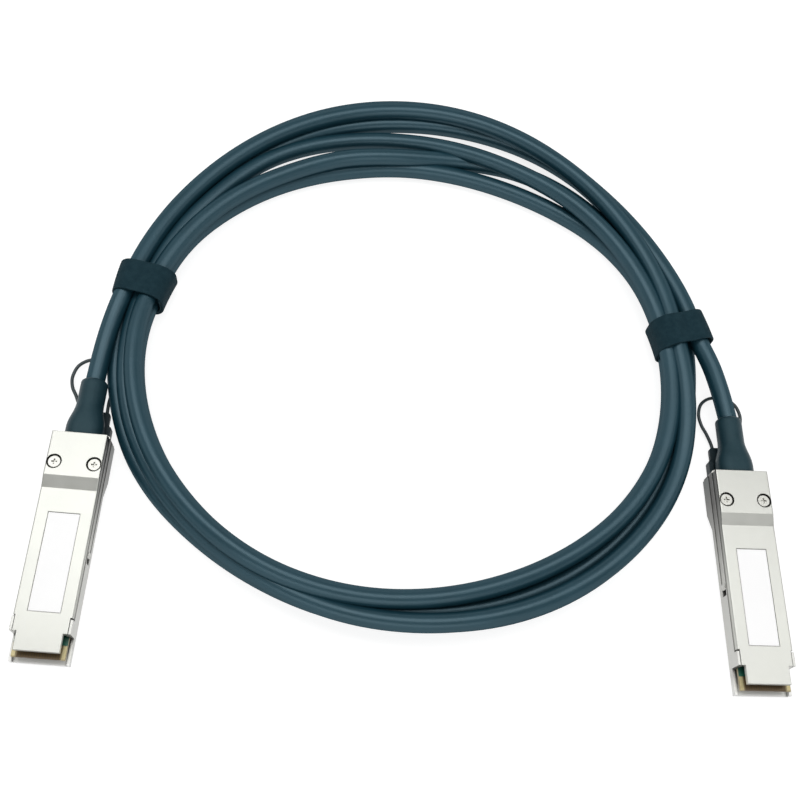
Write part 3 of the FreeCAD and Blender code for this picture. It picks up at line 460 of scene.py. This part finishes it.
def cover_finish(suffix):
    """Even nickel on top, with painted shade down the sides towards the rear and in the joint
    beside the shell.
    """
    nodes = cast_finish(f"nickel plated cover {suffix}")
    nickel = nodes.mixed(nodes.noise(120, 4.0), (0.505, 0.51, 0.475), (0.54, 0.545, 0.51))
    nodes.set(Base_Color=nodes.painted_gap_shade(nodes.painted_side_shade(suffix, nickel), 0.0006, 0.5))
    return nodes.material


def shell_finish(suffix):
    """The same plate, with painted shade making it dull and dark at the rear block, painted
    light making it brightest at the nose's lip, and painted shade in its gaps.
    """
    nodes = cast_finish(f"nickel plated shell {suffix}")
    share = nodes.add("ShaderNodeMapRange", {"Value": nodes.in_plug(suffix, 1),
                                             "From Min": -SHELL_LENGTH * MM,
                                             "From Max": 0.0})
    ramp = nodes.add("ShaderNodeValToRGB", {"Fac": share.outputs[0]})
    stops = ramp.color_ramp.elements
    stops[0].color = (*SHELL_LIP_LIGHT, 1)
    stops[1].color = (*SHELL_REAR_SHADE, 1)
    for place, level in SHELL_SHADES:
        stop = stops.new(place)
        stop.color = (level, level, level * PLATE_WARMTH, 1)
    lip = nodes.add("ShaderNodeMapRange", {"Value": nodes.in_plug(suffix, 1),
                                           "From Min": -(SHELL_LENGTH - LIP_DULL) * MM,
                                           "From Max": -(SHELL_LENGTH - LIP_METAL) * MM,
                                           "To Min": LIP_METALLIC,
                                           "To Max": PLATE_METALLIC})
    nodes.set(Base_Color=nodes.painted_gap_shade(ramp.outputs[0], 0.0016, 0.06),
              Metallic=lip.outputs[0])
    return nodes.material


def slider_finish(suffix):
    """Stamped steel of a latch slider, with painted shade on its upright faces towards the
    rear.
    """
    nodes = Nodes(f"stamped steel {suffix}")
    cloud = nodes.noise(300)
    steel = nodes.mixed(cloud, (0.40, 0.40, 0.38), (0.50, 0.50, 0.47))
    nodes.set(Base_Color=nodes.painted_side_shade(suffix, steel), Metallic=1.0,
              Roughness=nodes.between(cloud, 0.31, 0.41),
              Normal=nodes.bump(nodes.noise(2500, 2.0), 0.00002))
    return nodes.material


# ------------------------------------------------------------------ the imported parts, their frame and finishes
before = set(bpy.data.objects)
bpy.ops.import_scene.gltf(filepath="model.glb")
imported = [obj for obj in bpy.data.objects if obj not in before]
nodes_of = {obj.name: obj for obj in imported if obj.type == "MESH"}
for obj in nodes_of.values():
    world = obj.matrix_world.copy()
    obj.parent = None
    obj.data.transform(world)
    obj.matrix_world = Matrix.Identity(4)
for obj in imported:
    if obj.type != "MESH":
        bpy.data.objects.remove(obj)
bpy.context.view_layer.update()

FINISHES = {
    "jacket": jacket_finish(),
    "strap": strap_finish(),
    "boot": boot_finish(),
    "yoke": plain_finish("moulded yoke", (0.008, 0.020, 0.026), (0.012, 0.028, 0.034), 0.5,
                         Specular_IOR_Level=0.3),
    "wire": plain_finish("coated wire", (0.020, 0.034, 0.038), (0.034, 0.052, 0.056), 0.4),
    "screw": plain_finish("screw steel", (0.49, 0.49, 0.46), (0.54, 0.54, 0.50), 0.36, 0.9),
    # the label glows a little: painted light that keeps it white
    "label": plain_finish("blank label", (0.95, 0.95, 0.95), (0.98, 0.98, 0.98), 0.55,
                          mottle=60, relief=0.000004, Emission_Color=(1, 1, 1, 1),
                          Emission_Strength=0.1),
    "chip": plain_finish("moulded epoxy", (0.012, 0.012, 0.013), (0.025, 0.025, 0.026), 0.6),
    "ceramic": plain_finish("ceramic body", (0.30, 0.22, 0.14), (0.40, 0.30, 0.20), 0.5),
    "brass": plain_finish("plain brass", (0.55, 0.42, 0.20), (0.65, 0.52, 0.26), 0.35, 1.0),
    "film": plain_finish("pair film", (0.04, 0.09, 0.30), (0.06, 0.13, 0.38), 0.3),
    "spring": plain_finish("spring steel", (0.35, 0.35, 0.36), (0.50, 0.50, 0.50), 0.3, 1.0),
}
for suffix in PLUGS:
    FINISHES[f"cover_{suffix}"] = cover_finish(suffix)
    FINISHES[f"shell_{suffix}"] = shell_finish(suffix)
    FINISHES[f"slider_{suffix}"] = slider_finish(suffix)
    FINISHES[f"card_{suffix}"] = card_finish(suffix)
    FINISHES[f"gold_{suffix}"] = gold_finish(suffix)
NODE_FINISHES = {
    "top_cover": "cover", "bottom_shell": "shell", "cover_screws": "screw", "label": "label",
    "paddle_card": "card", "contact_pads": "gold", "memory_chip": "chip",
    "card_capacitors": "ceramic", "crimp_ferrule": "brass", "twinax_pairs": "film",
    "strain_relief": "boot", "latch_slider": "slider", "pull_yoke": "yoke",
    "pull_wire": "wire", "return_springs": "spring", "cable_coil": "jacket",
    "cable_lead": "jacket", "strap": "strap",
}
for node_name, node_object in nodes_of.items():
    kind = next(key for key in NODE_FINISHES if node_name.startswith(key))
    finish = NODE_FINISHES[kind]
    if finish not in FINISHES:
        finish += node_name[-len("_a"):]
    node_object.data.materials.clear()
    node_object.data.materials.append(FINISHES[finish])


# ---------------------------------------------------------------------- the cable
def coil_points():
    """The turns, pass after pass, clockwise from the left strap."""
    points = []
    # a quadratic spline runs inside its points, so they stand this much further out
    shrink = (6 + 2 * math.cos(math.radians(LAY_STEP))) / 8
    for name in LAY:
        stations = TOP_PASSES.get(name) or BOTTOM_PASSES[name]
        first, last = stations[0][0], stations[-1][0]
        steps = round((first - last) / LAY_STEP)
        for step in range(steps):
            angle = first + (last - first) * step / steps
            radius, height = smooth_between(stations, angle)
            points.append(coil_point(angle, radius / shrink, height))
    points.append(coil_point(*TOP_PASSES["A"][-1]))
    return points


def cable():
    """The whole cable as one spline: lead, turns, lead."""
    route = [metres(point) for point in LEAD_A]
    route += coil_points()
    route += [metres(point) for point in reversed(LEAD_B)]
    curve = bpy.data.curves.new("cable", "CURVE")
    curve.dimensions = "3D"
    curve.resolution_u = 5
    curve.bevel_depth = CABLE_DIAMETER * MM / 2
    curve.bevel_resolution = 6
    curve.use_fill_caps = True
    spline = curve.splines.new("NURBS")
    spline.points.add(len(route) - 1)
    for control, point in zip(spline.points, route):
        control.co = (*point, 1)
    spline.order_u = 3
    spline.use_endpoint_u = True
    piece = new_object("cable", curve, FINISHES["jacket"])
    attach(piece, "base")
    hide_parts("cable_coil", "cable_lead_a", "cable_lead_b")
    return piece


def wound_place(half_width, half_height, distance):
    """Place and outward direction on a rounded oblong, so far round it from the foot of
    its inner side: along the bottom, up the outer side and back over the top."""
    flats = (2 * (half_width - TAPE_CORNER), 2 * (half_height - TAPE_CORNER)) * 2
    bend = math.pi / 2 * TAPE_CORNER
    distance %= sum(flats) + 4 * bend
    corners = ((1, -1), (1, 1), (-1, 1), (-1, -1))
    for index, (flat, (side, rise)) in enumerate(zip(flats, corners)):
        turn = math.radians(90 * index - 90)
        if distance > flat + bend:
            distance -= flat + bend
            continue
        turn += max(0.0, distance - flat) / TAPE_CORNER
        outward = Vector((math.cos(turn), math.sin(turn)))
        place = Vector((side * (half_width - TAPE_CORNER), rise * (half_height - TAPE_CORNER)))
        back = Vector((-outward.y, outward.x)) * max(0.0, flat - distance)
        return place + outward * TAPE_CORNER - back, outward


def strap(which):
    """Tape wound over itself round the bundle, its end lapped on the outside."""
    tape = TAPES[which]
    middle = (tape["inner"] + tape["outer"]) / 2
    half_width = (tape["outer"] - tape["inner"]) / 2
    half_height = STRAP_HEIGHT / 2
    centre_height = STRAP_THICKNESS + half_height
    once_round = 4 * (half_width + half_height) - (8 - 2 * math.pi) * TAPE_CORNER
    points = []
    for step in range(TAPE_STEPS + 1):
        from_end = (once_round + TAPE_LAP) * (1 - step / TAPE_STEPS)
        climbed = min(1.0, max(0.0, (TAPE_LAP + TAPE_CLIMB - from_end) / TAPE_CLIMB))
        place, outward = wound_place(half_width, half_height, tape["end"] - from_end)
        offset, height = place + outward * TAPE_THICKNESS * (climbed + TAPE_OFF_BUNDLE)
        for cross in range(TAPE_ROWS + 1):
            along = (cross / TAPE_ROWS - 0.5) * tape["width"]
            outwards = 0.5 + offset / (2 * half_width)
            rise = tape["inner_rise"] + (tape["outer_rise"] - tape["inner_rise"]) * outwards
            radius = middle + offset + along * rise
            angle = tape["angle"] + math.degrees(along / radius) + tape["lean"] * offset
            points.append(coil_point(angle, radius, centre_height + height))
    faces = []
    row = TAPE_ROWS + 1
    for step in range(TAPE_STEPS):
        for cross in range(TAPE_ROWS):
            corner = step * row + cross
            faces.append((corner, corner + 1, corner + row + 1, corner + row))
    piece = mesh_object(f"strap_{which}_tape", points, faces, FINISHES["strap"])
    solid = piece.modifiers.new("thickness", "SOLIDIFY")
    solid.thickness = TAPE_THICKNESS * TAPE_SOLID * MM
    solid.offset = 1
    bevel = piece.modifiers.new("soft edge", "BEVEL")
    bevel.width = TAPE_EDGE * MM
    bevel.segments = 2
    bevel.limit_method = "ANGLE"
    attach(piece, "base")
    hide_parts(f"strap_{which}")
    return piece


# ------------------------------------------------------------------ the pull wires
def pull_wire(suffix):
    """Bent wire bail in one smooth line, from one arm of the yoke to the other."""
    lean = PLUGS[suffix]["loop_lean"]
    in_plug = plug_matrix(suffix)
    curve = bpy.data.curves.new(f"pull_wire_{suffix}", "CURVE")
    curve.dimensions = "3D"
    curve.resolution_u = 8
    curve.bevel_depth = WIRE_DIAMETER * MM / 2
    curve.bevel_resolution = 4
    curve.use_fill_caps = True
    other_half = [(-side, *rest) for side, *rest in reversed(WIRE_HALF[:-1])]
    route = [*WIRE_HALF, *other_half]
    spline = curve.splines.new("BEZIER")
    spline.bezier_points.add(len(route) - 1)
    for control, (side, along, height, leaning) in zip(spline.bezier_points, route):
        control.co = in_plug @ metres((side + lean * leaning, along, height))
        control.handle_left_type = "AUTO"
        control.handle_right_type = "AUTO"
    piece = new_object(f"pull_wire_{suffix}_bail", curve, FINISHES["wire"])
    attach(piece, f"latch_{suffix}")
    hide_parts(f"pull_wire_{suffix}")


for plug in PLUGS:
    pull_wire(plug)
straps = [strap("left"), strap("right")]
the_cable = cable()


# ----------------------------------------------------------------- camera and light
def set_camera():
    """The photograph's view."""
    tilt = math.radians(CAMERA_ELEVATION)
    roll = math.radians(CAMERA_ROLL)
    forward = Vector((0, math.cos(tilt), -math.sin(tilt)))
    right = Vector((1, 0, 0))
    up = Vector((0, math.sin(tilt), math.cos(tilt)))
    side = right * math.cos(roll) + up * math.sin(roll)
    top = up * math.cos(roll) - right * math.sin(roll)
    data = bpy.data.cameras.new("camera")
    data.lens = LENS
    data.sensor_width = 36
    data.clip_end = 10
    data.clip_start = 0.01
    camera = bpy.data.objects.new("camera", data)
    turned = Matrix((side, top, -forward)).transposed().to_4x4()
    camera.matrix_world = Matrix.Translation(metres(CAMERA_PLACE)) @ turned
    bpy.context.scene.collection.objects.link(camera)
    bpy.context.scene.camera = camera


def set_floor():
    """White sweep that glows to the camera and in reflections, and keeps soft shadows."""
    points = [(0, 0, 0)]
    for radius, height in SWEEP:
        for step in range(SWEEP_SIDES):
            turn = 2 * math.pi * step / SWEEP_SIDES
            points.append((radius * math.cos(turn), radius * math.sin(turn), height))
    faces = []
    for step in range(SWEEP_SIDES):
        after = (step + 1) % SWEEP_SIDES
        faces.append((0, 1 + step, 1 + after))
        for ring in range(len(SWEEP) - 1):
            inner, outer = 1 + ring * SWEEP_SIDES, 1 + (ring + 1) * SWEEP_SIDES
            faces.append((inner + step, outer + step, outer + after, inner + after))
    nodes = Nodes("white floor")
    nodes.set(Base_Color=(SWEEP_GREY, SWEEP_GREY, SWEEP_GREY, 1), Roughness=1.0,
              Specular_IOR_Level=0.0)
    path = nodes.add("ShaderNodeLightPath").outputs
    seen = path["Is Camera Ray"]
    for ray in ("Is Glossy Ray", "Is Transmission Ray"):
        seen = nodes.calculate("MAXIMUM", seen, path[ray])
    strength = nodes.add("ShaderNodeMapRange", {"Value": seen, "To Min": SWEEP_FILL,
                                                "To Max": SWEEP_GLOW})
    nodes.layer(nodes.add("ShaderNodeEmission", {"Color": (1, 1, 1, 1),
                                                 "Strength": strength.outputs[0]}).outputs[0])
    floor = mesh_object("floor", points, faces, nodes.material)
    floor.location.z = -SWEEP_DROP * MM


def area_light(name, place, aim, size, power):
    """Soft oblong light aimed at a point."""
    data = bpy.data.lights.new(name, "AREA")
    data.shape = "RECTANGLE"
    data.size, data.size_y = size
    data.energy = power
    light = bpy.data.objects.new(name, data)
    light.location = place
    direction = Vector(aim) - Vector(place)
    light.rotation_euler = direction.to_track_quat("-Z", "Y").to_euler()
    bpy.context.scene.collection.objects.link(light)


def set_light():
    """Even white studio: a pale world, three soft lamps overhead and one in front."""
    world = bpy.data.worlds.new("studio")
    world.use_nodes = True
    background = world.node_tree.nodes["Background"]
    background.inputs["Color"].default_value = (1, 1, 1, 1)
    background.inputs["Strength"].default_value = WORLD_LIGHT
    bpy.context.scene.world = world
    for lamp in LAMPS:
        area_light(*lamp)
    bpy.context.scene.view_settings.view_transform = "Standard"


set_camera()
set_floor()
set_light()
